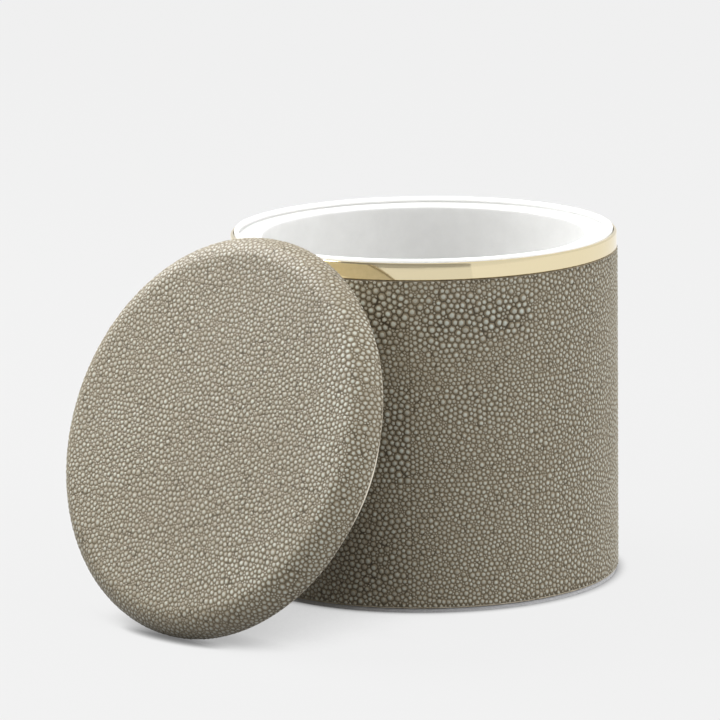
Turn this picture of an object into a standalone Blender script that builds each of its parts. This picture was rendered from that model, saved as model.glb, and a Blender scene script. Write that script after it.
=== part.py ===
"""A round lidded canister covered in pearled faux shagreen, with a metal band round its mouth.

The lid is off. It stands on its edge beside the canister and leans on it, top face outwards.
Lengths are metres, +Z is up, and the origin is the centre of the canister's base on the floor.
"""

import math

import bmesh
import bpy

MM = 0.001

# Metal band round the mouth
BAND_RADIUS = 63.5 * MM
BAND_TOP = 113.8 * MM
BAND_HEIGHT = 5.5 * MM
BAND_WALL = 1.0 * MM
BAND_TOP_ROUNDING = 0.6 * MM
BAND_FOOT_CHAMFER = 0.25 * MM

# Faux shagreen sheet, glued round the body and over the lid
WRAP_THICK = 1.1 * MM
WRAP_PROUD = 0.3 * MM
SEAM_WIDTH = 0.35 * MM

# Board tube and base board that carry the body
TUBE_WALL = 7.8 * MM
BASE_BOARD_THICK = 4.0 * MM

# Felt pad under the base
PAD_THICK = 1.2 * MM
PAD_INSET = 0.8 * MM

# White moulded cup inside the tube. Its flange covers the tube's top edge, with a skirt behind the band
# and a lip above it
CUP_WALL = 1.4 * MM
CUP_FLOOR_THICK = 1.6 * MM
CUP_FLOOR_FILLET = 4.0 * MM
CUP_MOUTH_ROUNDING = 0.8 * MM
FLANGE_DROP = 1.9 * MM
LIP_RISE = 1.1 * MM
LIP_ROUNDING = 0.5 * MM

# Lid board, plug and lining
LID_OVERHANG = 1.25 * MM
LID_THICK = 9.0 * MM
LID_EDGE_STRAIGHT = 0.7 * MM
PLUG_CLEARANCE = 0.7 * MM
PLUG_DEPTH = 14.85 * MM
PLUG_EDGE_ROUNDING = 0.8 * MM
LINING_THICK = 0.8 * MM
LINING_INSET = 5.0 * MM

# How the lid stands: how far below the sheet's top edge its plug's corner meets the canister, its gap
# there, its place to the side, and how near upright it may stand beside a canister taller than itself
LEAN_DROP = 5.4 * MM
LEAN_GAP = 0.3 * MM
LID_SIDE_SHIFT = 3.3 * MM
TALLEST_LEAN_SHARE = 0.95

# Room between glued pieces
GLUE_GAP = 0.3 * MM

# How finely round shapes are cut
TURN_STEPS = 72
CORNER_STEPS = 4
LID_CORNER_STEPS = 8
SMOOTH_ANGLE = math.radians(40)
MERGE_DISTANCE = 0.001 * MM

# Directions in an outline, from the axis outwards and up
OUTWARD = 0.0
UPWARD = math.pi / 2
INWARD = math.pi
DOWNWARD = -math.pi / 2
FULL_TURN = 2 * math.pi

# Body, from the sheet inwards
WRAP_RADIUS = BAND_RADIUS + WRAP_PROUD
TUBE_RADIUS = WRAP_RADIUS - WRAP_THICK - GLUE_GAP
TUBE_BORE = TUBE_RADIUS - TUBE_WALL
CUP_RADIUS = TUBE_BORE - GLUE_GAP
CUP_BORE = CUP_RADIUS - CUP_WALL
SKIRT_RADIUS = BAND_RADIUS - BAND_WALL - GLUE_GAP
SKIRT_BORE = SKIRT_RADIUS - CUP_WALL

# Body, from the floor upwards
BODY_FOOT = PAD_THICK + GLUE_GAP
CUP_FOOT = BODY_FOOT + BASE_BOARD_THICK + GLUE_GAP
CUP_FLOOR = CUP_FOOT + CUP_FLOOR_THICK
BAND_FOOT = BAND_TOP - BAND_HEIGHT
WRAP_TOP = BAND_FOOT - GLUE_GAP
LIP_TOP = BAND_TOP + LIP_RISE
FLANGE_TOP = LIP_TOP - FLANGE_DROP
FLANGE_FOOT = FLANGE_TOP - CUP_WALL

# Lid, from its own underside
LID_RADIUS = WRAP_RADIUS + LID_OVERHANG
LID_ROUNDING = LID_THICK - LID_EDGE_STRAIGHT
LID_CORE_INSET = WRAP_THICK + GLUE_GAP
PLUG_RADIUS = CUP_BORE - PLUG_CLEARANCE
LINING_RADIUS = PLUG_RADIUS - LINING_INSET


def rounded_corner(centre, size, start, end, steps=CORNER_STEPS):
    """Points along an arc about a centre in the outline, between two directions."""
    turns = [start + (end - start) * step / steps for step in range(steps + 1)]
    return [(centre[0] + size * math.cos(turn), centre[1] + size * math.sin(turn)) for turn in turns]


def ring_outline(inner, outer, low, high):
    """A plain square-cut ring."""
    return [(inner, low), (outer, low), (outer, high), (inner, high)]


def disc_outline(radius, low, high):
    """A plain square-cut disc."""
    return [(0, low), (radius, low), (radius, high), (0, high)]


def turned_mesh(name, outline, start=0.0, sweep=FULL_TURN):
    """Turn an outline of (radius, height) points round the upright axis into a closed solid."""
    whole = sweep == FULL_TURN
    bm = bmesh.new()
    points = [
        bm.verts.new((radius * math.cos(start), radius * math.sin(start), height))
        for radius, height in outline
    ]
    for first, second in zip(points, points[1:] + points[:1]):
        if first.co.xy.length > 0 or second.co.xy.length > 0:
            bm.edges.new((first, second))
    bmesh.ops.spin(
        bm,
        geom=bm.verts[:] + bm.edges[:],
        cent=(0, 0, 0),
        axis=(0, 0, 1),
        angle=sweep,
        steps=TURN_STEPS,
        use_merge=whole,
    )
    bmesh.ops.remove_doubles(bm, verts=bm.verts[:], dist=MERGE_DISTANCE)
    if not whole:
        bmesh.ops.holes_fill(bm, edges=[edge for edge in bm.edges if edge.is_boundary], sides=0)
    bmesh.ops.recalc_face_normals(bm, faces=bm.faces[:])
    mesh = bpy.data.meshes.new(name)
    bm.to_mesh(mesh)
    bm.free()
    mesh.shade_smooth()
    mesh.set_sharp_from_angle(angle=SMOOTH_ANGLE)
    return mesh


def add_piece(name, mesh, material, carrier):
    """Put one finished piece in the scene, carried by an empty."""
    mesh.materials.append(material)
    piece = bpy.data.objects.new(name, mesh)
    bpy.context.scene.collection.objects.link(piece)
    piece.parent = carrier
    return piece


def add_carrier(name):
    """An empty that stands for a group of pieces that move together."""
    carrier = bpy.data.objects.new(name, None)
    bpy.context.scene.collection.objects.link(carrier)
    return carrier


def make_material(name, colour, roughness, metallic=0.0):
    """A plain surface of one colour."""
    material = bpy.data.materials.new(name)
    material.use_nodes = True
    shader = material.node_tree.nodes["Principled BSDF"]
    shader.inputs["Base Color"].default_value = (*colour, 1.0)
    shader.inputs["Roughness"].default_value = roughness
    shader.inputs["Metallic"].default_value = metallic
    return material


def shagreen():
    """Grey-beige sheet with a pearled grain."""
    return make_material("shagreen", (0.27, 0.25, 0.21), roughness=0.42)


def polished_brass():
    """Pale, polished brass."""
    return make_material("polished_brass", (0.78, 0.66, 0.42), roughness=0.16, metallic=1.0)


def white_moulding():
    """Glossy white plastic of the cup."""
    return make_material("white_moulding", (0.88, 0.88, 0.86), roughness=0.25)


def white_paint():
    """White paint on the lid's board and plug."""
    return make_material("white_paint", (0.85, 0.85, 0.83), roughness=0.45)


def grey_board():
    """Raw wound board of the tube."""
    return make_material("grey_board", (0.38, 0.32, 0.25), roughness=0.9)


def fibreboard():
    """Raw fibreboard of the base."""
    return make_material("fibreboard", (0.42, 0.30, 0.18), roughness=0.85)


def grey_felt():
    """Light grey felt."""
    return make_material("grey_felt", (0.42, 0.41, 0.39), roughness=0.95)


def pale_suede():
    """Short suede-like cloth on the plug's face."""
    return make_material("pale_suede", (0.50, 0.46, 0.38), roughness=0.9)


def base_pad():
    """Felt disc that the canister stands on, set in from the sheet."""
    return turned_mesh("base_pad", disc_outline(WRAP_RADIUS - PAD_INSET, 0, PAD_THICK))


def core_tube():
    """Board tube that carries the sheet outside and the cup inside, its top stepped in behind the band."""
    step_radius = SKIRT_BORE - GLUE_GAP
    top = FLANGE_FOOT - GLUE_GAP
    outline = [(TUBE_BORE, BODY_FOOT), (TUBE_RADIUS, BODY_FOOT), (TUBE_RADIUS, WRAP_TOP)]
    outline += [(step_radius, WRAP_TOP), (step_radius, top), (TUBE_BORE, top)]
    return turned_mesh("core_tube", outline)


def base_board():
    """Disc let into the foot of the tube, under the cup."""
    return turned_mesh(
        "base_board",
        disc_outline(TUBE_BORE - GLUE_GAP, BODY_FOOT, BODY_FOOT + BASE_BOARD_THICK),
    )


def body_wrap():
    """Sheet glued round the tube, its two ends meeting at a fine seam at the back."""
    seam_turn = SEAM_WIDTH / WRAP_RADIUS
    return turned_mesh(
        "body_wrap",
        ring_outline(WRAP_RADIUS - WRAP_THICK, WRAP_RADIUS, BODY_FOOT, WRAP_TOP),
        start=UPWARD + seam_turn / 2,
        sweep=FULL_TURN - seam_turn,
    )


def rim_band():
    """Metal band round the cup's skirt, its top edge rounded and its foot edge broken."""
    inner = BAND_RADIUS - BAND_WALL
    outline = [(inner, BAND_FOOT), (BAND_RADIUS - BAND_FOOT_CHAMFER, BAND_FOOT)]
    outline += [(BAND_RADIUS, BAND_FOOT + BAND_FOOT_CHAMFER)]
    top_centre = (BAND_RADIUS - BAND_TOP_ROUNDING, BAND_TOP - BAND_TOP_ROUNDING)
    outline += rounded_corner(top_centre, BAND_TOP_ROUNDING, OUTWARD, UPWARD)
    outline += [(inner, BAND_TOP)]
    return turned_mesh("rim_band", outline)


def cup_lip():
    """The cup's rounded crest, from its outer side over to the flange."""
    height = LIP_TOP - LIP_ROUNDING
    outer = rounded_corner((SKIRT_RADIUS - LIP_ROUNDING, height), LIP_ROUNDING, OUTWARD, UPWARD)
    inner = rounded_corner((SKIRT_BORE + LIP_ROUNDING, height), LIP_ROUNDING, UPWARD, INWARD)
    return outer + inner


def inner_cup():
    """White cup: straight wall, a flange over the tube's top edge, a skirt behind the band, and a lip."""
    outer_fillet = CUP_FLOOR_FILLET + CUP_WALL
    mouth_centre = (CUP_BORE + CUP_MOUTH_ROUNDING, FLANGE_TOP - CUP_MOUTH_ROUNDING)
    outline = [(0, CUP_FOOT)]
    outline += rounded_corner(
        (CUP_RADIUS - outer_fillet, CUP_FOOT + outer_fillet), outer_fillet, DOWNWARD, OUTWARD
    )
    outline += [(CUP_RADIUS, FLANGE_FOOT), (SKIRT_BORE, FLANGE_FOOT)]
    outline += [(SKIRT_BORE, BAND_FOOT), (SKIRT_RADIUS, BAND_FOOT)]
    outline += cup_lip()
    outline += [(SKIRT_BORE, FLANGE_TOP)]
    outline += rounded_corner(mouth_centre, CUP_MOUTH_ROUNDING, UPWARD, INWARD)
    outline += rounded_corner(
        (CUP_BORE - CUP_FLOOR_FILLET, CUP_FLOOR + CUP_FLOOR_FILLET),
        CUP_FLOOR_FILLET,
        OUTWARD,
        DOWNWARD,
    )
    outline += [(0, CUP_FLOOR)]
    return turned_mesh("inner_cup", outline)


def lid_side(inset):
    """The lid's rounded edge from its underside to its flat top, drawn in by a depth of cover."""
    rounding = LID_ROUNDING - inset
    centre = (LID_RADIUS - LID_ROUNDING, LID_EDGE_STRAIGHT)
    corner = rounded_corner(centre, rounding, OUTWARD, UPWARD, LID_CORNER_STEPS)
    return [(LID_RADIUS - inset, 0)] + corner


def lid_wrap():
    """Sheet drawn over the lid's top and rounded edge, cut off level with its underside."""
    inner = lid_side(WRAP_THICK)
    outline = [*lid_side(0), (0, LID_THICK), (0, LID_THICK - WRAP_THICK), *reversed(inner)]
    return turned_mesh("lid_wrap", outline)


def lid_core():
    """Painted board disc under the lid's sheet."""
    outline = [(0, 0), *lid_side(LID_CORE_INSET), (0, LID_THICK - LID_CORE_INSET)]
    return turned_mesh("lid_core", outline)


def lid_plug():
    """Painted disc that drops into the cup, its lower edge rounded."""
    centre = (PLUG_RADIUS - PLUG_EDGE_ROUNDING, PLUG_EDGE_ROUNDING - PLUG_DEPTH)
    outline = [(0, -PLUG_DEPTH)]
    outline += rounded_corner(centre, PLUG_EDGE_ROUNDING, DOWNWARD, OUTWARD)
    outline += [(PLUG_RADIUS, -GLUE_GAP), (0, -GLUE_GAP)]
    return turned_mesh("lid_plug", outline)


def lid_lining():
    """Cloth disc on the plug's lower face."""
    top = -PLUG_DEPTH - GLUE_GAP
    return turned_mesh("lid_lining", disc_outline(LINING_RADIUS, top - LINING_THICK, top))


def lean_lid(carrier):
    """Stand the lid on its lower edge, its plug's upper corner just clear of the canister."""
    corner_out = PLUG_RADIUS - PLUG_EDGE_ROUNDING
    corner_deep = PLUG_DEPTH - PLUG_EDGE_ROUNDING
    stand = LID_RADIUS + corner_out
    contact = min(WRAP_TOP - LEAN_DROP, TALLEST_LEAN_SHARE * stand)
    lean = math.acos(contact / math.hypot(stand, corner_deep)) - math.atan2(corner_deep, stand)
    reach = corner_out * math.sin(lean) + corner_deep * math.cos(lean) + PLUG_EDGE_ROUNDING
    carrier.location = (
        LID_SIDE_SHIFT,
        -(WRAP_RADIUS + LEAN_GAP + reach),
        LID_RADIUS * math.cos(lean),
    )
    carrier.rotation_euler = (math.pi / 2 - lean, 0, 0)


def clear_scene():
    for old in list(bpy.data.objects):
        bpy.data.objects.remove(old)


def build():
    clear_scene()
    canister = add_carrier("canister")
    lid = add_carrier("lid")
    sheet = shagreen()
    paint = white_paint()
    add_piece("base_pad", base_pad(), grey_felt(), canister)
    add_piece("core_tube", core_tube(), grey_board(), canister)
    add_piece("base_board", base_board(), fibreboard(), canister)
    add_piece("body_wrap", body_wrap(), sheet, canister)
    add_piece("rim_band", rim_band(), polished_brass(), canister)
    add_piece("inner_cup", inner_cup(), white_moulding(), canister)
    add_piece("lid_wrap", lid_wrap(), sheet, lid)
    add_piece("lid_core", lid_core(), paint, lid)
    add_piece("lid_plug", lid_plug(), paint, lid)
    add_piece("lid_lining", lid_lining(), pale_suede(), lid)
    lean_lid(lid)


build()
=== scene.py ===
"""The looks of a round lidded canister covered in pearled faux shagreen.

The sheet's pearls are real shapes: they are scattered in the flat, pushed apart until they pack, joined
into one surface, and then bent round the body or drawn over the lid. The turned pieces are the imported
model's own profiles, spun again in finer steps. Lengths are metres.
"""

import math
from typing import NamedTuple

import bmesh
import bpy
import numpy as np
from mathutils import Matrix, Vector
from mathutils.geometry import delaunay_2d_cdt


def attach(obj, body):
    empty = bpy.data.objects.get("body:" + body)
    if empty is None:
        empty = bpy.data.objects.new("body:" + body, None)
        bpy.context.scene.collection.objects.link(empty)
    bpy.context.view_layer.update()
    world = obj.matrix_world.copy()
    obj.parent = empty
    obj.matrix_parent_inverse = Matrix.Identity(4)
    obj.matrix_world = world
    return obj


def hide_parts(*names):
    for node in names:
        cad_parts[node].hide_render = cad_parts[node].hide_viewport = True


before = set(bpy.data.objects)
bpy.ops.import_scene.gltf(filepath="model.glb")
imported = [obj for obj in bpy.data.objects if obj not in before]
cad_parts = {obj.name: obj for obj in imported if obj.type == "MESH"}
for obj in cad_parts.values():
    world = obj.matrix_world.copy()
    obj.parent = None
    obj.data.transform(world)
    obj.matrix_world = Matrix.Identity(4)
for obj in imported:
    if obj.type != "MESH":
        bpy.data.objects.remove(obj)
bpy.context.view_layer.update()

MM = 0.001
PICTURE_WIDTH = 720
SENSOR_WIDTH = 36.0

# Camera: where it stands, seen from a point on the canister's axis, and where that point shows in the picture
SIGHT_HEIGHT = 55.0 * MM
CAMERA_DISTANCE = 1655.0 * MM
CAMERA_HEADING = math.radians(-47.39)
CAMERA_RISE = math.radians(11.67)
CAMERA_ROLL = math.radians(0.58)
FOCAL_PIXELS = 4998.0
SIGHT_PIXEL = (425.23, 405.02)
CAMERA_CLIP = (0.05, 50.0)

# Studio panels: distance, heading and rise of the middle, width and height as angles, brightness
KEY_PANEL = (1.0, math.radians(-156), math.radians(48), math.radians(42), math.radians(32), 10.2)
SIDE_PANEL = (20.0, math.radians(35), math.radians(35), math.radians(60), math.radians(40), 2.3)
FRONT_PANEL = (20.0, math.radians(-68), math.radians(40), math.radians(50), math.radians(40), 1.7)

# The pale room to the left and right, and the dim opening between them that the camera looks through.
# In brass means as polished pieces mirror it.
LEFT_ROOM_BRIGHTNESS = 0.26
RIGHT_ROOM_BRIGHTNESS = 1.11
RIGHT_ROOM_IN_BRASS = 0.85
OPENING_BRIGHTNESS = 0.25
OPENING_IN_BRASS = 0.4
OPENING_EDGES = (math.radians(-77), math.radians(-20))
EDGE_SOFTNESS = 0.01

# Floor: its size, how pale it is, and how much it glows in the open, in the gap under the leaning lid, on
# the pieces above it, and in polished pieces. The open shares are how open it is to the air within a reach,
# from where a glow starts to where it is full. Where it touches a piece, it is darker.
FLOOR_SIZE = 6.0
FLOOR_SHADE = 0.02
FLOOR_GLOW = 0.845
FLOOR_GLOW_IN_GAP = 0.41
FLOOR_GLOW_ON_PIECES = 0.32
FLOOR_GLOW_IN_BRASS = 1.13
GAP_REACH = 60 * MM
GAP_OPEN_SHARES = (0.1, 0.6)
CAST_OPEN_SHARES = (0.5, 0.95)
TOUCH_REACH = 5 * MM
TOUCH_OPEN_SHARES = (0.25, 0.95)
TOUCH_SHADE = 0.42

# Pearls: their usual and largest radius, and how a dome's height and its fall follow from it
PEARL_RADIUS = 0.66 * MM
LARGEST_PEARL = 1.35 * MM
BODY_DOME_SHARE = 0.39
LID_DOME_SHARE = 0.22
DOME_FALL = 0.75
RELIEF_SHARE = 1.2

# How pearls are scattered: area for each in squares of its radius, spread of sizes, large and small ones, and
# the patch of larger pearls that a panel has by chance
PEARL_AREA_SHARE = 3.55
PEARL_SPREAD = 0.1
PEARL_SHARE = 1.2
FILLER_PORTION = 0.42
FILLER_SHARE = 0.62
PANEL_SPOT_REACH = (12 * MM, 9 * MM)
BODY_PANEL_GROWTH = 0.22
LID_PANEL_GROWTH = 0.2
SEED = 11

# How they are packed: how hard they press, how far each push goes, how near a joint their middles come, and
# the corners of the sheet's outline
PRESSURE = 1.1
PUSH_SHARE = 0.4
RELAX_STEPS = 80
WALL_SHARE = 0.8
OUTLINE_SPACING = 0.9 * MM
OUTLINE_RADIUS = 0.2 * MM

# Their tone, from 0 for brown to 1 for pale, and the growth from which a pearl is bold
PEARL_TONE = 0.62
LID_PEARL_TONE = 0.4
PANEL_TONE_SPREAD = 0.05
PEARL_TONE_SPREAD = 0.17
BOLD_TONE_RISE = 0.15
FILLER_TONE_DROP = 0.42
PLAIN_TONE = 0.5
BOLD_FROM = 1.1
BOLD_SPAN = 0.45

# Panels of the sheet: width round the body from the first upright joint, the joints at which the front
# stretch starts and ends, level joints, and the panels over the lid
PANEL_TURN = math.radians(37.7)
FIRST_JOINT_TURN = math.radians(29.7)
UPRIGHT_JOINTS = 9
FRONT_START = 4
FRONT_END = 8
LEVEL_JOINTS = (42.5 * MM, 74.2 * MM)
LID_PANEL_WIDTH = 41.9 * MM
LID_PANEL_DEPTH = 41.9 * MM
LID_PANEL_SHIFT = (12.0 * MM, 4.5 * MM)

# Cut edges of the sheet: how far pearls are cut into, how much of each is left, and the raw strip below
EDGE_CUT = 0.4 * MM
FOOT_CUT_SHARES = (0.1, 1.0)
TOP_CUT_SHARES = (0.1, 0.4)
LID_CUT_SHARES = (0.1, 0.8)
FOOT_STRIP = 0.35 * MM
FOOT_STRIP_DROP = 0.05 * MM
LID_STRIP = 0.32 * MM
LID_STRIP_DROP = 0.115 * MM

# Colours of the sheet: its creases, the pearls' flanks and their brown or pale tops, where pearls are plain
# and where they are bold, and its cut edge. The creases' browns are partly the sheet's own brown and partly
# painted shade in the creases.
CREASE_BROWN_AND_SHADE = (0.09, 0.072, 0.043)
BOLD_CREASE_BROWN_AND_SHADE = (0.03, 0.021, 0.009)
FLANK_BROWN = (0.242, 0.2, 0.132)
BOLD_FLANK_BROWN = (0.188, 0.152, 0.095)
BROWN_PEARL = (0.252, 0.215, 0.157)
PALE_PEARL = (0.535, 0.55, 0.485)
BOLD_PALE_PEARL = (0.555, 0.6, 0.545)
RAW_SHEET = (0.6, 0.525, 0.39)

# Where on a pearl's height the crease ends, the top starts and the polish comes in, and what is cut raw
FLANK_CROWNS = (0.0, 0.2)
TOP_CROWNS = (0.24, 0.55)
POLISH_CROWNS = (0.2, 0.6)
CREASE_ROUGHNESS = 0.55
PEARL_ROUGHNESS = 0.4
RAW_CUT_SHARES = (0.42, 0.7)

# The band's brass and the streaks round it, and the cup's lip: its white, and how far down the white goes,
# below which the cup is a greyer white, painted shade inside the cup
BAND_BRASS = (0.82, 0.715, 0.475)
STREAK_SCALE = (60, 60, 3000)
STREAK_ROUGHNESS = (0.03, 0.08)
LIP_WHITE = (0.88, 0.88, 0.87)
LIP_WHITE_DEPTH = 1.6 * MM
LIGHT_IN_MOULDING = 2 * MM

# Speckled finishes: how fine the specks are, their dark and light colours, roughness, and depth of the relief
# The moulding's greys are painted shade: the cup below its lip is given a greyer white than the lip.
SHADED_MOULDING_LOOK = (150, (0.64, 0.64, 0.63), (0.68, 0.68, 0.67), 0.3, 0.01 * MM)
RAW_EDGE_LOOK = (700, (0.36, 0.3, 0.21), (0.66, 0.59, 0.47), 0.8, 0.05 * MM)
PAINT_LOOK = (300, (0.74, 0.69, 0.57), (0.82, 0.77, 0.66), 0.45, 0.02 * MM)
FELT_LOOK = (1800, (0.5, 0.5, 0.51), (0.62, 0.62, 0.63), 0.95, 0.2 * MM)
SUEDE_LOOK = (1200, (0.42, 0.37, 0.28), (0.58, 0.52, 0.42), 0.9, 0.1 * MM)
WOUND_BOARD_LOOK = (400, (0.33, 0.27, 0.2), (0.44, 0.38, 0.3), 0.85, 0.05 * MM)
FIBREBOARD_LOOK = (900, (0.36, 0.25, 0.14), (0.5, 0.37, 0.23), 0.85, 0.05 * MM)

# Fine steps for turned pieces
TURN_STEPS = 256
CORNER_STEPS = 6
CREASE_ANGLE = math.radians(32)
SAME_PLACE = 0.001 * MM
SAME_TURN = 1e-3

UP = Vector((0, 0, 1))
FULL_TURN = 2 * math.pi


def corners_of(node):
    """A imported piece's separate corner points."""
    points = np.array([vertex.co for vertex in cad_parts[node].data.vertices])
    return np.unique(points.round(7), axis=0)


def turned_outline(node, centre, axis):
    """How far out from an axis a piece's corners lie, and how far along it."""
    offset = corners_of(node) - np.array(centre)
    along = offset @ np.array(axis)
    out = np.linalg.norm(offset - np.outer(along, axis), axis=1)
    return out, along


# Body sizes
wrap_out, wrap_up = turned_outline("body_wrap", (0, 0, 0), UP)
WRAP_RADIUS = wrap_out.max()
WRAP_THICK = WRAP_RADIUS - wrap_out.min()
WRAP_FOOT = wrap_up.min()
WRAP_TOP = wrap_up.max()
wrap_corners = corners_of("body_wrap")
SEAM_TURN = np.arctan2(np.abs(wrap_corners[:, 0]), wrap_corners[:, 1]).min()

CUP_TOP = corners_of("inner_cup")[:, 2].max()

# The lid's own frame: origin at the middle of its underside, third axis out of its top
lid_axis = Vector(corners_of("lid_wrap").mean(axis=0) - corners_of("lid_lining").mean(axis=0)).normalized()
lid_middle = Vector(corners_of("lid_wrap").mean(axis=0))
lid_out, lid_up = turned_outline("lid_wrap", lid_middle, lid_axis)
lid_origin = lid_middle + lid_axis * lid_up.min()
lid_side = UP.cross(lid_axis).normalized()
lid_rise = lid_axis.cross(lid_side)
LID_FRAME = Matrix.Translation(lid_origin) @ Matrix((lid_side, lid_rise, lid_axis)).transposed().to_4x4()

# Lid sizes
LID_RADIUS = lid_out.max()
LID_THICK = lid_up.max() - lid_up.min()
LID_FLAT_RADIUS = lid_out[lid_up > lid_up.max() - 0.01 * MM].max()
LID_ROUNDING = LID_RADIUS - LID_FLAT_RADIUS
LID_ARC = LID_ROUNDING * math.pi / 2
LID_REACH = LID_FLAT_RADIUS + LID_ARC + LID_THICK - LID_ROUNDING


class Spot(NamedTuple):
    """A patch of unlike pearls: its middle and reach in the flat sheet, how much larger they are, and how much
    paler they are painted, as painted light.

    Below nought it is painted shade: it makes them browner and the creases between them darker.
    """

    across: float
    up: float
    reach_across: float
    reach_up: float
    growth: float
    painted_light: float = 0.0


def round_body(turn):
    """How far round the sheet a direction is, measured from the seam at the back."""
    return (math.radians(turn) - math.pi / 2) % FULL_TURN * WRAP_RADIUS


# Patches of larger, paler or browner pearls that show from the front
FRONT_SPOTS = (
    Spot(round_body(-24), 96 * MM, 10 * MM, 4.5 * MM, 0.68),
    Spot(round_body(-40), 95 * MM, 11 * MM, 7 * MM, 0.5),
    Spot(round_body(-54.5), 55 * MM, 7 * MM, 17 * MM, 0.42),
    # The next two patches are painted shade: browner pearls with darker creases where the leaning lid shades
    # the canister.
    Spot(round_body(-60), 97 * MM, 12 * MM, 10 * MM, 0.45, -0.15),
    Spot(round_body(-67), 17 * MM, 13 * MM, 16 * MM, 0.28, -0.55),
    Spot(round_body(-30), 36 * MM, 14 * MM, 5 * MM, 0.1),
    Spot(round_body(5), 96 * MM, 16 * MM, 30 * MM, 0.2),
    Spot(round_body(5), 58 * MM, 16 * MM, 30 * MM, 0.2),
    Spot(round_body(5), 22 * MM, 16 * MM, 30 * MM, 0.2),
)
LID_SPOTS = (
    Spot(0, -15 * MM, 55 * MM, 55 * MM, 0.12),
    # The next three patches are painted light: paler pearls where light falls on the lid's rounded edge and
    # down its right side.
    Spot(51 * MM, 35 * MM, 7 * MM, 18 * MM, 0.25, 0.5),
    Spot(59 * MM, -2 * MM, 10 * MM, 16 * MM, 0.0, 0.4),
    Spot(41 * MM, -40 * MM, 16 * MM, 12 * MM, 0.0, 0.55),
)


def neighbour_pairs(points, reach):
    """Index pairs of points that may lie within a reach of each other, found through square cells."""
    cell = np.floor((points - points.min(axis=0)) / reach).astype(int)
    columns, rows = cell.max(axis=0) + 1
    key = cell[:, 0] * rows + cell[:, 1]
    order = np.argsort(key, kind="stable")
    counts = np.bincount(key, minlength=columns * rows)
    starts = np.concatenate(([0], np.cumsum(counts)[:-1]))
    table = np.full((columns * rows, counts.max()), -1)
    table[key[order], np.arange(len(points)) - starts[key[order]]] = order
    table = table.reshape(columns, rows, -1)
    firsts, seconds = [], []
    for right, up in ((0, 0), (1, 0), (0, 1), (1, 1), (1, -1)):
        here = table[: columns - right, max(0, -up) : rows - max(0, up)]
        there = table[right:, max(0, up) : rows + min(0, up)]
        first = np.repeat(here[..., :, None], there.shape[-1], axis=-1).ravel()
        second = np.repeat(there[..., None, :], here.shape[-1], axis=-2).ravel()
        good = (first >= 0) & (second >= 0)
        if (right, up) == (0, 0):
            good &= first < second
        firsts.append(first[good])
        seconds.append(second[good])
    return np.concatenate(firsts), np.concatenate(seconds)


class Pearls(NamedTuple):
    """Pearls in the flat sheet: places, radii, tones, how bold, and the walls that each stays between."""

    places: np.ndarray
    radii: np.ndarray
    tones: np.ndarray
    bold: np.ndarray
    low: np.ndarray
    high: np.ndarray


def spot_share(places, spot):
    """How strongly a patch is felt at some places."""
    across = (places[:, 0] - spot.across) / spot.reach_across
    up = (places[:, 1] - spot.up) / spot.reach_up
    return np.exp(-0.5 * (across**2 + up**2))


def grown_radius(places, spots):
    """The pearl size that a panel has at some places."""
    growth = np.max([spot.growth * spot_share(places, spot) for spot in spots], axis=0)
    return PEARL_RADIUS * (1 + growth)


def panel_pearls(rng, low, high, spots, tone):
    """Pearls scattered over one panel, closer together where they are small."""
    low, high = np.array(low), np.array(high)
    spacing = math.sqrt(PEARL_AREA_SHARE) * PEARL_RADIUS
    columns, rows = np.ceil((high - low) / spacing).astype(int)
    cells = np.stack(np.divmod(np.arange(columns * rows), rows), axis=1)
    places = low + (cells + rng.random(cells.shape)) / (columns, rows) * (high - low)
    local = grown_radius(places, spots)
    kept = rng.random(len(places)) < (PEARL_RADIUS / local) ** 2
    places, local = places[kept], local[kept]
    count = len(places)
    filler = rng.random(count) < FILLER_PORTION
    factor = np.exp(rng.normal(0, PEARL_SPREAD, count)) * np.where(filler, FILLER_SHARE, PEARL_SHARE)
    # Painted light and shade from the spots: above nought pearls are paler; below nought they are browner and
    # bolder, with darker creases, as painted shade.
    painted_light_share = sum(spot.painted_light * spot_share(places, spot) for spot in spots)
    bold = np.clip((local / PEARL_RADIUS - BOLD_FROM) / BOLD_SPAN - painted_light_share, 0, 1)
    tone += rng.normal(0, PANEL_TONE_SPREAD) + painted_light_share
    tones = rng.normal(tone, PEARL_TONE_SPREAD, count) + BOLD_TONE_RISE * bold - FILLER_TONE_DROP * filler
    tones = np.clip(tones, 0, 1)
    radii = np.minimum(local * factor, LARGEST_PEARL)
    return Pearls(places, radii, tones, bold, np.tile(low, (count, 1)), np.tile(high, (count, 1)))


def joined_pearls(panels):
    """Several panels' pearls as one."""
    return Pearls(*(np.concatenate(column) for column in zip(*panels)))


def packed_pearls(pearls, keep_inside):
    """Push the pearls apart until they pack, each inside its own panel."""
    places = pearls.places
    room = WALL_SHARE * pearls.radii[:, None]
    for _ in range(RELAX_STEPS):
        first, second = neighbour_pairs(places, 2 * PRESSURE * pearls.radii.max())
        apart = places[second] - places[first]
        distance = np.linalg.norm(apart, axis=1) + 1e-9
        overlap = (pearls.radii[first] + pearls.radii[second]) * PRESSURE - distance
        close = overlap > 0
        push = apart[close] * (overlap[close] / distance[close] * PUSH_SHARE)[:, None]
        move = np.zeros_like(places)
        np.add.at(move, second[close], push)
        np.add.at(move, first[close], -push)
        places = np.clip(places + move, pearls.low + room, pearls.high - room)
        places = keep_inside(places, pearls.radii)
    return pearls._replace(places=places)


def relief_of(dome_share):
    """How far the creases lie below the sheet's outer face."""
    return dome_share * PEARL_RADIUS * RELIEF_SHARE


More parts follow.
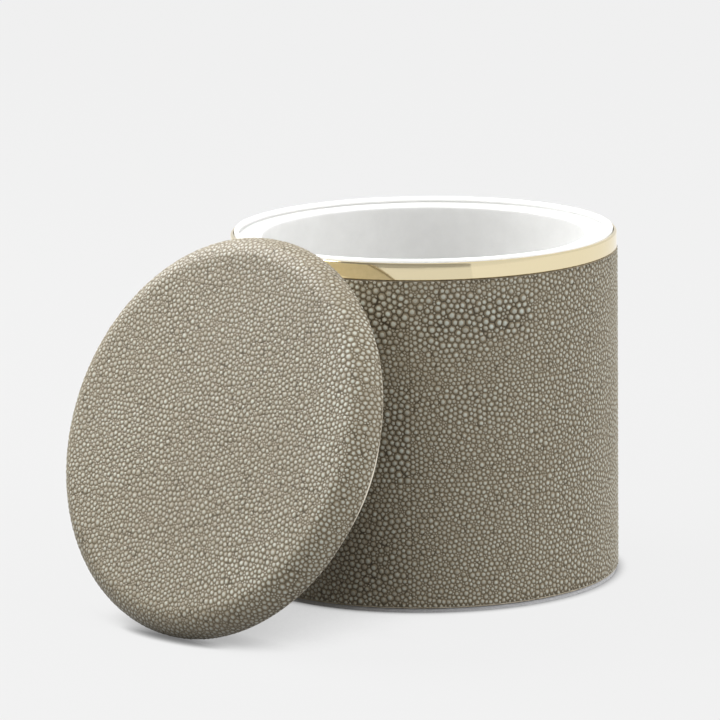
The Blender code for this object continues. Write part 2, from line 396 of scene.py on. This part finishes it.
def pearled_sheet(pearls, outline, cut_shares, dome_share):
    """A flat bmesh of pearls inside a closed outline: each a low dome, with a crease round it."""
    corners = [Vector(place) / MM for place in (*outline, *pearls.places)]
    count = len(outline)
    rim = [(index, (index + 1) % count) for index in range(count)]
    found, _, faces, sources, _, _ = delaunay_2d_cdt(corners, rim, [], 1, 1e-6)
    radii = np.concatenate((np.full(count, OUTLINE_RADIUS), pearls.radii))
    tones = np.concatenate((np.full(count, PLAIN_TONE), pearls.tones))
    bolds = np.concatenate((np.full(count, pearls.bold.min()), pearls.bold))

    bm = bmesh.new()
    crown = bm.verts.layers.float.new("crown")
    tone = bm.verts.layers.float.new("tone")
    bold = bm.verts.layers.float.new("bold")
    size = bm.verts.layers.float.new("size")
    cut = bm.verts.layers.float.new("cut")
    share = bm.verts.layers.float.new("share")
    made = []
    for place, source in zip(found, sources):
        vertex = bm.verts.new((place.x * MM, place.y * MM, 0))
        vertex[crown] = 1.0 if source[0] >= count else 0.0
        vertex[tone] = tones[source[0]]
        vertex[bold] = bolds[source[0]]
        vertex[size] = radii[source[0]]
        vertex[cut] = cut_shares[source[0]] if source[0] < count else 0.0
        made.append(vertex)
    for face in faces:
        bm.faces.new([made[index] for index in face])

    between = [edge for edge in bm.edges if not edge.is_boundary]
    pits = bmesh.ops.poke(bm, faces=bm.faces[:])["verts"]
    for pit in pits:
        around = [edge.other_vert(pit) for edge in pit.link_edges]
        weights = [1 / vertex[size] for vertex in around]
        pit.co = sum((vertex.co * weight for vertex, weight in zip(around, weights)), Vector()) / sum(weights)
        pit[crown] = 0.0
        pit[tone] = PLAIN_TONE
        pit[bold] = sum(vertex[bold] for vertex in around) / len(around)
        pit[size] = sum(vertex[size] for vertex in around) / len(around)
        pit[cut] = 0.0
    bmesh.ops.rotate_edges(bm, edges=between, use_ccw=False)

    spokes = {edge for vertex in made if vertex[crown] for edge in vertex.link_edges}
    bmesh.ops.subdivide_edges(bm, edges=list(spokes), cuts=1, use_grid_fill=True)
    bmesh.ops.triangulate(bm, faces=[face for face in bm.faces if len(face.verts) > 3])
    for centre in [vertex for vertex in bm.verts if vertex[crown] > 0.9]:
        centre[share] = 1.0
        for edge in centre.link_edges:
            shoulder = edge.other_vert(centre)
            out = edge.calc_length() / centre[size]
            shoulder[crown] = max(0.0, 1 - out)
            shoulder[share] = max(0.0, 1 - DOME_FALL * out**2)
            shoulder[size] = centre[size]
    for vertex in bm.verts:
        vertex.co.z = max(vertex[share], vertex[cut]) * dome_share * vertex[size] - relief_of(dome_share)
    bm.verts.layers.float.remove(share)
    return bm


def spaced(first, last, spacing):
    """Evenly spaced places from one end of a line up to, but not at, the other."""
    first, last = np.array(first), np.array(last)
    count = max(1, round(np.linalg.norm(last - first) / spacing))
    return [first + (last - first) * step / count for step in range(count)]


def drawn_out(bm, edges, shape):
    """Draw new faces out from a line of edges, shape the new line, and return its edges."""
    made = bmesh.ops.extrude_edge_only(bm, edges=edges)["geom"]
    line = {item for item in made if isinstance(item, bmesh.types.BMVert)}
    for vertex in line:
        shape(vertex.co)
    return [item for item in made if isinstance(item, bmesh.types.BMEdge) and line.issuperset(item.verts)]


def finish_sheet(bm, pearled, name, place):
    """Bend a flat closed sheet into place and make it a piece, its creases crisp and its cut edges raw."""
    crown = bm.verts.layers.float["crown"]
    bm.verts.layers.float.remove(bm.verts.layers.float["size"])
    for face in bm.faces:
        face.smooth = True
        face.material_index = 0 if face in pearled else 1
    for edge in bm.edges:
        edge.smooth = any(vertex[crown] > 0 for vertex in edge.verts)
    bmesh.ops.triangulate(bm, faces=[face for face in bm.faces if len(face.verts) > 4])
    bmesh.ops.recalc_face_normals(bm, faces=bm.faces[:])
    mesh = bpy.data.meshes.new(name)
    bm.to_mesh(mesh)
    bm.free()
    flat = np.zeros(len(mesh.vertices) * 3)
    mesh.vertices.foreach_get("co", flat)
    mesh.vertices.foreach_set("co", place(flat.reshape(-1, 3)).ravel())
    mesh.update()
    return add_piece(name, mesh)


def add_piece(name, mesh):
    """A new object in the scene, in the frame's own axes."""
    piece = bpy.data.objects.new(name, mesh)
    bpy.context.scene.collection.objects.link(piece)
    return piece


def bent_round_body(flat):
    """Take points of the flat sheet round the body."""
    turn = math.pi / 2 + flat[:, 0] / WRAP_RADIUS
    radius = WRAP_RADIUS + flat[:, 2]
    return np.stack((radius * np.cos(turn), radius * np.sin(turn), flat[:, 1]), axis=1)


def drawn_over_lid(flat):
    """Take points of the flat disc over the lid's top, round its edge and down its side."""
    reach = np.linalg.norm(flat[:, :2], axis=1)
    turn = np.clip((reach - LID_FLAT_RADIUS) / LID_ROUNDING, 0, math.pi / 2)
    arc = LID_ROUNDING + flat[:, 2]
    flat_part = np.minimum(reach, LID_FLAT_RADIUS)
    side_part = np.maximum(reach - LID_FLAT_RADIUS - LID_ARC, 0)
    out = flat_part + arc * np.sin(turn)
    up = LID_THICK - LID_ROUNDING + arc * np.cos(turn) - side_part
    share = out / np.maximum(reach, 1e-9)
    local = np.stack((flat[:, 0] * share, flat[:, 1] * share, up), axis=1)
    matrix = np.array(LID_FRAME)
    return local @ matrix[:3, :3].T + matrix[:3, 3]


def body_panels(rng, turns, foot):
    """The pearls of one stretch of the body's sheet, panel by panel."""
    levels = (foot, *LEVEL_JOINTS, WRAP_TOP)
    panels = []
    for left, right in zip(turns[:-1], turns[1:]):
        for low, high in zip(levels[:-1], levels[1:]):
            corner, opposite = (left * WRAP_RADIUS, low), (right * WRAP_RADIUS, high)
            spots = [
                spot
                for spot in FRONT_SPOTS
                if corner[0] < spot.across < opposite[0] and low < spot.up < high
            ]
            if not spots:
                middle = rng.uniform(corner, opposite)
                spots = [Spot(*middle, *PANEL_SPOT_REACH, rng.uniform(0.0, BODY_PANEL_GROWTH))]
            pearls = panel_pearls(rng, corner, opposite, spots, PEARL_TONE)
            pearls.low[:, 1] -= EDGE_CUT * (low == foot)
            pearls.high[:, 1] += EDGE_CUT * (high == WRAP_TOP)
            panels.append(pearls)
    return joined_pearls(panels)


def body_sheet(rng, name, turns):
    """One stretch of the sheet round the body, between two upright joints, as a closed skin."""
    start, end = turns[0] * WRAP_RADIUS, turns[-1] * WRAP_RADIUS
    foot = WRAP_FOOT + FOOT_STRIP
    pearls = packed_pearls(body_panels(rng, turns, foot), lambda places, radii: places)
    corners = ((start, foot), (end, foot), (end, WRAP_TOP), (start, WRAP_TOP))
    sides = [spaced(first, last, OUTLINE_SPACING) for first, last in zip(corners, corners[1:] + corners[:1])]
    foot_shares = rng.uniform(*FOOT_CUT_SHARES, len(sides[0]))
    top_shares = rng.uniform(*TOP_CUT_SHARES, len(sides[2]))
    cut_shares = (*foot_shares, *np.zeros(len(sides[1])), *top_shares, *np.zeros(len(sides[3])))
    bm = pearled_sheet(pearls, [place for side in sides for place in side], cut_shares, BODY_DOME_SHARE)
    pearled = set(bm.faces)

    def edges_at(height):
        return [
            edge
            for edge in bm.edges
            if edge.is_boundary and all(abs(vertex.co.y - height) < SAME_PLACE for vertex in edge.verts)
        ]

    def foot_strip(point):
        point.y = WRAP_FOOT
        point.z = min(point.z, 0) - FOOT_STRIP_DROP

    def to_back(point):
        point.z = -WRAP_THICK

    bottom = drawn_out(bm, edges_at(foot), foot_strip)
    bottom = drawn_out(bm, bottom, to_back)
    top = drawn_out(bm, edges_at(WRAP_TOP), to_back)
    bmesh.ops.bridge_loops(bm, edges=bottom + top)
    bmesh.ops.holes_fill(bm, edges=[edge for edge in bm.edges if edge.is_boundary], sides=0)
    return finish_sheet(bm, pearled, name, bent_round_body)


def joint_lines(shift, width, reach):
    """Where panels meet across the lid, from one side to the other."""
    lines = np.arange(shift - math.ceil((shift + reach) / width) * width, reach + width, width)
    return np.clip(lines, -reach, reach)


def lid_sheet(rng):
    """The sheet over the lid, as a closed skin: turned in at its cut edge, with a smooth back."""
    rim = LID_REACH - LID_STRIP
    columns = joint_lines(LID_PANEL_SHIFT[0], LID_PANEL_WIDTH, rim)
    rows = joint_lines(LID_PANEL_SHIFT[1], LID_PANEL_DEPTH, rim)
    panels = []
    for left, right in zip(columns[:-1], columns[1:]):
        for low, high in zip(rows[:-1], rows[1:]):
            middle = rng.uniform((left, low), (right, high))
            spots = [*LID_SPOTS, Spot(*middle, *PANEL_SPOT_REACH, rng.uniform(0.0, LID_PANEL_GROWTH))]
            panels.append(panel_pearls(rng, (left, low), (right, high), spots, LID_PEARL_TONE))
    pearls = joined_pearls(panels)
    inside = np.linalg.norm(pearls.places, axis=1) < rim
    pearls = Pearls(*(column[inside] for column in pearls))

    def keep_inside(places, radii):
        reach = np.linalg.norm(places, axis=1)
        share = np.minimum(1, (rim + EDGE_CUT - WALL_SHARE * radii) / np.maximum(reach, 1e-9))
        return places * share[:, None]

    pearls = packed_pearls(pearls, keep_inside)
    steps = round(FULL_TURN * rim / OUTLINE_SPACING)
    turns = [FULL_TURN * step / steps for step in range(steps)]
    outline = [(rim * math.cos(turn), rim * math.sin(turn)) for turn in turns]
    bm = pearled_sheet(pearls, outline, rng.uniform(*LID_CUT_SHARES, steps), LID_DOME_SHARE)
    pearled = set(bm.faces)

    def to_ring(reach, depth):
        def shape(point):
            point.xy *= reach / point.xy.length
            point.z = depth

        return shape

    edges = [edge for edge in bm.edges if edge.is_boundary]
    edges = drawn_out(bm, edges, to_ring(LID_REACH, -relief_of(LID_DOME_SHARE) - LID_STRIP_DROP))
    edges = drawn_out(bm, edges, to_ring(LID_REACH, -WRAP_THICK))
    for step in reversed(range(CORNER_STEPS + 1)):
        edges = drawn_out(bm, edges, to_ring(LID_FLAT_RADIUS + LID_ARC * step / CORNER_STEPS, -WRAP_THICK))
    bmesh.ops.holes_fill(bm, edges=edges, sides=0)
    return finish_sheet(bm, pearled, "lid_sheet", drawn_over_lid)


def turn_of(point):
    """A point's direction, seen along the third axis."""
    return math.atan2(point.y, point.x)


def respun(name, node, place):
    """A turned piece made again in finer steps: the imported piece's profile on one side of its axis, spun."""
    bm = bmesh.new()
    bm.from_mesh(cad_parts[node].data)
    bmesh.ops.remove_doubles(bm, verts=bm.verts[:], dist=SAME_PLACE)
    bmesh.ops.transform(bm, matrix=place.inverted(), verts=bm.verts[:])
    widest = max(bm.verts, key=lambda vertex: round(vertex.co.xy.length, 6))
    start = turn_of(widest.co)

    def on_profile(point):
        return point.xy.length < SAME_PLACE or abs(turn_of(point) - start) < SAME_TURN

    profile = {edge for edge in bm.edges if all(on_profile(vertex.co) for vertex in edge.verts)}
    bmesh.ops.delete(bm, geom=bm.faces[:], context="FACES_ONLY")
    bmesh.ops.delete(bm, geom=[edge for edge in bm.edges if edge not in profile], context="EDGES")
    bmesh.ops.delete(bm, geom=[vertex for vertex in bm.verts if not vertex.link_edges], context="VERTS")
    for vertex in bm.verts[:]:
        if len(vertex.link_edges) == 1 and vertex.co.xy.length > SAME_PLACE:
            middle = bm.verts.new((0, 0, vertex.co.z))
            bm.edges.new((vertex, middle))
    bmesh.ops.spin(
        bm,
        geom=bm.verts[:] + bm.edges[:],
        cent=(0, 0, 0),
        axis=(0, 0, 1),
        angle=FULL_TURN,
        steps=TURN_STEPS,
        use_merge=True,
    )
    bmesh.ops.remove_doubles(bm, verts=bm.verts[:], dist=SAME_PLACE)
    bmesh.ops.recalc_face_normals(bm, faces=bm.faces[:])
    for face in bm.faces:
        face.smooth = True
    for edge in bm.edges:
        edge.smooth = edge.calc_face_angle(0) < CREASE_ANGLE
    bmesh.ops.transform(bm, matrix=place, verts=bm.verts[:])
    mesh = bpy.data.meshes.new(name)
    bm.to_mesh(mesh)
    bm.free()
    return add_piece(name, mesh)


def make_camera():
    """A long lens at the photograph's viewing angle, turned so that the canister shows in the same place."""
    away = Vector(
        (
            math.cos(CAMERA_RISE) * math.cos(CAMERA_HEADING),
            math.cos(CAMERA_RISE) * math.sin(CAMERA_HEADING),
            math.sin(CAMERA_RISE),
        )
    )
    level = UP.cross(away).normalized()
    steep = away.cross(level)
    right = level * math.cos(CAMERA_ROLL) - steep * math.sin(CAMERA_ROLL)
    above = level * math.sin(CAMERA_ROLL) + steep * math.cos(CAMERA_ROLL)
    sight = UP * SIGHT_HEIGHT
    scale = CAMERA_DISTANCE / FOCAL_PIXELS
    aim = sight - right * (SIGHT_PIXEL[0] - PICTURE_WIDTH / 2) * scale
    aim += above * (SIGHT_PIXEL[1] - PICTURE_WIDTH / 2) * scale
    stand = sight + away * CAMERA_DISTANCE
    back = (stand - aim).normalized()
    right = above.cross(back).normalized()
    above = back.cross(right)
    data = bpy.data.cameras.new("camera")
    data.sensor_width = SENSOR_WIDTH
    data.lens = FOCAL_PIXELS / PICTURE_WIDTH * SENSOR_WIDTH
    data.clip_start, data.clip_end = CAMERA_CLIP
    camera = bpy.data.objects.new("camera", data)
    camera.matrix_world = Matrix.Translation(stand) @ Matrix((right, above, back)).transposed().to_4x4()
    bpy.context.scene.collection.objects.link(camera)
    bpy.context.scene.camera = camera


def make_floor():
    """A pale floor that glows evenly, and less where pieces stand close to it."""
    bm = bmesh.new()
    bmesh.ops.create_grid(bm, x_segments=1, y_segments=1, size=FLOOR_SIZE)
    mesh = bpy.data.meshes.new("floor")
    bm.to_mesh(mesh)
    bm.free()
    floor = add_piece("floor", mesh)
    material, shader = new_finish("pale_floor", 0.9)
    shader.inputs["Base Color"].default_value = (*grey(FLOOR_SHADE), 1)
    shader.inputs["Specular IOR Level"].default_value = 0.0
    shader.inputs["Emission Color"].default_value = (1, 1, 1, 1)
    nodes, links = material.node_tree.nodes, material.node_tree.links
    path = nodes.new("ShaderNodeLightPath")
    place = nodes.new("ShaderNodeTexCoord")
    open_share = openness(nodes, GAP_REACH)
    in_gap = mapped(nodes, links, open_share, *GAP_OPEN_SHARES, FLOOR_GLOW_IN_GAP, FLOOR_GLOW)
    at_touch = mapped(nodes, links, openness(nodes, TOUCH_REACH), *TOUCH_OPEN_SHARES, TOUCH_SHADE, 1.0)
    to_right = past_edge(nodes, links, place.outputs["Object"], OPENING_EDGES[1])
    mirrored = product(nodes, links, to_right, path.outputs["Is Glossy Ray"])
    in_brass = mapped(nodes, links, mirrored, 0.0, 1.0, 1.0, FLOOR_GLOW_IN_BRASS)
    seen = product(nodes, links, product(nodes, links, in_gap, at_touch), in_brass)
    on_pieces = mapped(nodes, links, open_share, *CAST_OPEN_SHARES, 0.0, FLOOR_GLOW_ON_PIECES)
    strength = nodes.new("ShaderNodeMix")
    links.new(path.outputs["Is Diffuse Ray"], strength.inputs["Factor"])
    links.new(seen, strength.inputs["A"])
    links.new(on_pieces, strength.inputs["B"])
    links.new(strength.outputs["Result"], shader.inputs["Emission Strength"])
    mesh.materials.append(material)


def openness(nodes, reach):
    """How open a place on the floor is to the air above it, within a reach."""
    node = nodes.new("ShaderNodeAmbientOcclusion")
    node.inputs["Distance"].default_value = reach
    return node.outputs["AO"]


def product(nodes, links, first, second):
    """Two values multiplied."""
    node = nodes.new("ShaderNodeMath")
    node.operation = "MULTIPLY"
    links.new(first, node.inputs[0])
    links.new(second, node.inputs[1])
    return node.outputs["Value"]


def make_panel(name, mirrored, distance, heading, rise, width, height, brightness):
    """A large soft light that faces the canister, and may show in polished pieces."""
    data = bpy.data.lights.new(name, "AREA")
    data.shape = "RECTANGLE"
    data.size = 2 * distance * math.tan(width / 2)
    data.size_y = 2 * distance * math.tan(height / 2)
    data.energy = brightness * math.pi * data.size * data.size_y
    light = bpy.data.objects.new(name, data)
    level = math.cos(rise)
    outward = Vector((level * math.cos(heading), level * math.sin(heading), math.sin(rise)))
    turn = outward.to_track_quat("Z", "Y").to_matrix().to_4x4()
    light.matrix_world = Matrix.Translation(outward * distance) @ turn
    light.visible_glossy = mirrored
    bpy.context.scene.collection.objects.link(light)


def make_room():
    """A pale room, brighter to the right, with a dim upright opening that the camera looks through."""
    world = bpy.data.worlds.new("studio")
    world.use_nodes = True
    nodes, links = world.node_tree.nodes, world.node_tree.links
    direction = nodes.new("ShaderNodeTexCoord")
    path = nodes.new("ShaderNodeLightPath")
    mirrored = path.outputs["Is Glossy Ray"]
    opening = blended(nodes, links, mirrored, grey(OPENING_BRIGHTNESS), grey(OPENING_IN_BRASS))
    right_room = blended(nodes, links, mirrored, grey(RIGHT_ROOM_BRIGHTNESS), grey(RIGHT_ROOM_IN_BRASS))
    colour = grey(LEFT_ROOM_BRIGHTNESS)
    for edge, beyond in zip(OPENING_EDGES, (opening, right_room)):
        share = past_edge(nodes, links, direction.outputs["Generated"], edge)
        colour = blended(nodes, links, share, colour, beyond)
    links.new(colour, nodes["Background"].inputs["Color"])
    bpy.context.scene.world = world


def past_edge(nodes, links, place, heading):
    """How far a place or direction has turned to the left of a heading: none, all, or a soft edge between."""
    turned = nodes.new("ShaderNodeVectorMath")
    turned.operation = "DOT_PRODUCT"
    turned.inputs[1].default_value = (-math.sin(heading), math.cos(heading), 0)
    links.new(place, turned.inputs[0])
    return mapped(nodes, links, turned.outputs["Value"], -EDGE_SOFTNESS, EDGE_SOFTNESS, 0.0, 1.0)


def grey(brightness):
    """A colour without hue."""
    return (brightness, brightness, brightness)


def new_finish(name, roughness):
    """A new material and its shader."""
    material = bpy.data.materials.new(name)
    material.use_nodes = True
    shader = material.node_tree.nodes["Principled BSDF"]
    shader.inputs["Roughness"].default_value = roughness
    return material, shader


def speckle_group():
    """Fine cloudy specks between two colours, with a height that follows them."""
    group = bpy.data.node_groups.new("speckle", "ShaderNodeTree")
    group.interface.new_socket("Scale", in_out="INPUT", socket_type="NodeSocketFloat")
    group.interface.new_socket("Dark", in_out="INPUT", socket_type="NodeSocketColor")
    group.interface.new_socket("Light", in_out="INPUT", socket_type="NodeSocketColor")
    group.interface.new_socket("Colour", in_out="OUTPUT", socket_type="NodeSocketColor")
    group.interface.new_socket("Height", in_out="OUTPUT", socket_type="NodeSocketFloat")
    nodes, links = group.nodes, group.links
    given = nodes.new("NodeGroupInput")
    result = nodes.new("NodeGroupOutput")
    place = nodes.new("ShaderNodeTexCoord")
    noise = nodes.new("ShaderNodeTexNoise")
    noise.inputs["Detail"].default_value = 5
    noise.inputs["Roughness"].default_value = 0.65
    spread = nodes.new("ShaderNodeMapRange")
    spread.inputs["From Min"].default_value = 0.32
    spread.inputs["From Max"].default_value = 0.68
    mix = nodes.new("ShaderNodeMix")
    mix.data_type = "RGBA"
    links.new(place.outputs["Object"], noise.inputs["Vector"])
    links.new(given.outputs["Scale"], noise.inputs["Scale"])
    links.new(noise.outputs["Fac"], spread.inputs["Value"])
    links.new(spread.outputs["Result"], mix.inputs["Factor"])
    links.new(given.outputs["Dark"], mix.inputs["A"])
    links.new(given.outputs["Light"], mix.inputs["B"])
    links.new(mix.outputs["Result"], result.inputs["Colour"])
    links.new(noise.outputs["Fac"], result.inputs["Height"])
    return group


def speckled(name, group, scale, dark, light, roughness, depth):
    """A finish of fine specks, with a slight relief."""
    material, shader = new_finish(name, roughness)
    nodes, links = material.node_tree.nodes, material.node_tree.links
    specks = nodes.new("ShaderNodeGroup")
    specks.node_tree = group
    specks.inputs["Scale"].default_value = scale
    specks.inputs["Dark"].default_value = (*dark, 1)
    specks.inputs["Light"].default_value = (*light, 1)
    relief = nodes.new("ShaderNodeBump")
    relief.inputs["Distance"].default_value = depth
    links.new(specks.outputs["Colour"], shader.inputs["Base Color"])
    links.new(specks.outputs["Height"], relief.inputs["Height"])
    links.new(relief.outputs["Normal"], shader.inputs["Normal"])
    return material, shader


def mapped(nodes, links, source, from_low, from_high, to_low, to_high):
    """A value taken smoothly from one range to another."""
    node = nodes.new("ShaderNodeMapRange")
    node.interpolation_type = "SMOOTHSTEP"
    node.inputs["From Min"].default_value = from_low
    node.inputs["From Max"].default_value = from_high
    node.inputs["To Min"].default_value = to_low
    node.inputs["To Max"].default_value = to_high
    links.new(source, node.inputs["Value"])
    return node.outputs["Result"]


def blended(nodes, links, share, first, second):
    """A colour between two others, each a colour or a socket."""
    node = nodes.new("ShaderNodeMix")
    node.data_type = "RGBA"
    links.new(share, node.inputs["Factor"])
    for name, value in (("A", first), ("B", second)):
        if isinstance(value, tuple):
            node.inputs[name].default_value = (*value, 1)
        else:
            links.new(value, node.inputs[name])
    return node.outputs["Result"]


def carried(nodes, name):
    """A value that the sheet's corners carry."""
    node = nodes.new("ShaderNodeAttribute")
    node.attribute_name = name
    return node.outputs["Fac"]


def make_shagreen():
    """Pale polished pearls on a brown ground, with dark creases between them that are partly painted shade,
    cut raw at the edges.
    """
    material, shader = new_finish("pearled_shagreen", PEARL_ROUGHNESS)
    nodes, links = material.node_tree.nodes, material.node_tree.links
    crown, tone, bold, cut = (carried(nodes, name) for name in ("crown", "tone", "bold", "cut"))
    out_of_crease = mapped(nodes, links, crown, *FLANK_CROWNS, 0.0, 1.0)
    on_pearl = mapped(nodes, links, crown, *TOP_CROWNS, 0.0, 1.0)
    raw = mapped(nodes, links, cut, *RAW_CUT_SHARES, 0.0, 1.0)
    # The crease colour is partly the sheet's own brown and partly painted shade in the creases, darker where
    # pearls are bold.
    crease = blended(nodes, links, bold, CREASE_BROWN_AND_SHADE, BOLD_CREASE_BROWN_AND_SHADE)
    flank = blended(nodes, links, bold, FLANK_BROWN, BOLD_FLANK_BROWN)
    ground = blended(nodes, links, out_of_crease, crease, flank)
    pale = blended(nodes, links, bold, PALE_PEARL, BOLD_PALE_PEARL)
    pearl = blended(nodes, links, tone, BROWN_PEARL, pale)
    sheet = blended(nodes, links, on_pearl, ground, pearl)
    links.new(blended(nodes, links, raw, sheet, RAW_SHEET), shader.inputs["Base Color"])
    roughness = mapped(nodes, links, crown, *POLISH_CROWNS, CREASE_ROUGHNESS, PEARL_ROUGHNESS)
    links.new(roughness, shader.inputs["Roughness"])
    return material


def make_brass():
    """Polished brass with faint streaks round the band."""
    material, shader = new_finish("polished_brass", 0.2)
    nodes, links = material.node_tree.nodes, material.node_tree.links
    shader.inputs["Base Color"].default_value = (*BAND_BRASS, 1)
    shader.inputs["Metallic"].default_value = 1.0
    shader.inputs["Anisotropic"].default_value = 0.8
    shader.inputs["Anisotropic Rotation"].default_value = 0.25
    place = nodes.new("ShaderNodeTexCoord")
    stretch = nodes.new("ShaderNodeMapping")
    stretch.inputs["Scale"].default_value = STREAK_SCALE
    noise = nodes.new("ShaderNodeTexNoise")
    noise.inputs["Scale"].default_value = 1.0
    noise.inputs["Detail"].default_value = 3
    links.new(place.outputs["Object"], stretch.inputs["Vector"])
    links.new(stretch.outputs["Vector"], noise.inputs["Vector"])
    roughness = mapped(nodes, links, noise.outputs["Fac"], 0.3, 0.7, *STREAK_ROUGHNESS)
    links.new(roughness, shader.inputs["Roughness"])
    return material


def make_moulding(group):
    """White moulding that takes in a little light; below the lip it is a greyer white, painted shade inside
    the cup.
    """
    material, shader = speckled("white_moulding", group, *SHADED_MOULDING_LOOK)
    nodes, links = material.node_tree.nodes, material.node_tree.links
    shader.inputs["Coat Weight"].default_value = 0.2
    shader.inputs["Subsurface Weight"].default_value = 0.9
    shader.inputs["Subsurface Radius"].default_value = (1, 1, 1)
    shader.inputs["Subsurface Scale"].default_value = LIGHT_IN_MOULDING
    place = nodes.new("ShaderNodeTexCoord")
    parts = nodes.new("ShaderNodeSeparateXYZ")
    links.new(place.outputs["Object"], parts.inputs["Vector"])
    # Painted shade: below the lip the cup keeps the greyer speckled white, and only the lip gets the true
    # white.
    lip_foot = CUP_TOP - LIP_WHITE_DEPTH
    at_lip = mapped(nodes, links, parts.outputs["Z"], lip_foot, lip_foot + LIP_WHITE_DEPTH / 2, 0.0, 1.0)
    inside = shader.inputs["Base Color"].links[0].from_socket
    links.new(blended(nodes, links, at_lip, inside, LIP_WHITE), shader.inputs["Base Color"])
    return material


# Finishes
speckle = speckle_group()
shagreen = make_shagreen()
raw_edge, _ = speckled("raw_sheet_edge", speckle, *RAW_EDGE_LOOK)
brass = make_brass()
moulding = make_moulding(speckle)
paint, _ = speckled("cream_paint", speckle, *PAINT_LOOK)
felt, _ = speckled("grey_felt", speckle, *FELT_LOOK)
suede, suede_shader = speckled("pale_suede", speckle, *SUEDE_LOOK)
suede_shader.inputs["Sheen Weight"].default_value = 0.3
wound_board, _ = speckled("wound_board", speckle, *WOUND_BOARD_LOOK)
fibreboard, _ = speckled("fibreboard", speckle, *FIBREBOARD_LOOK)

# The sheet round the body, from the seam at the back and round to it again, in three stretches
rng = np.random.default_rng(SEED)
joints = [FIRST_JOINT_TURN + PANEL_TURN * step for step in range(UPRIGHT_JOINTS)]
joints = [SEAM_TURN, *joints, FULL_TURN - SEAM_TURN]
body_stretches = (
    ("sheet_left", joints[: FRONT_START + 1]),
    ("sheet_front", joints[FRONT_START : FRONT_END + 1]),
    ("sheet_right", joints[FRONT_END:]),
)
for name, turns in body_stretches:
    piece = body_sheet(rng, name, turns)
    piece.data.materials.append(shagreen)
    piece.data.materials.append(raw_edge)
    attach(piece, "canister")
    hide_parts("body_wrap")

# The sheet over the lid
piece = lid_sheet(rng)
piece.data.materials.append(shagreen)
piece.data.materials.append(raw_edge)
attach(piece, "lid")
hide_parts("lid_wrap")

# Turned pieces: name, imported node, body, the frame that it is turned in, finish and slot
turned_pieces = (
    ("polished_band", "rim_band", "canister", Matrix(), brass, "polished_brass"),
    ("moulded_cup", "inner_cup", "canister", Matrix(), moulding, "white_moulding"),
    ("felt_pad", "base_pad", "canister", Matrix(), felt, "grey_felt"),
    ("lid_board", "lid_core", "lid", LID_FRAME, paint, "white_paint"),
    ("painted_plug", "lid_plug", "lid", LID_FRAME, paint, "white_paint"),
    ("suede_lining", "lid_lining", "lid", LID_FRAME, suede, "pale_suede"),
)
for name, node, body, place, finish, slot in turned_pieces:
    piece = respun(name, node, place)
    piece.data.materials.append(finish)
    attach(piece, body)
    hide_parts(node)

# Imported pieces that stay, with a better finish
for node, finish in (("core_tube", wound_board), ("base_board", fibreboard)):
    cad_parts[node].material_slots[0].material = finish

# Camera and studio
make_camera()
make_floor()
make_room()
make_panel("key_panel", True, *KEY_PANEL)
make_panel("side_panel", False, *SIDE_PANEL)
make_panel("front_panel", False, *FRONT_PANEL)
bpy.context.scene.view_settings.view_transform = "Standard"
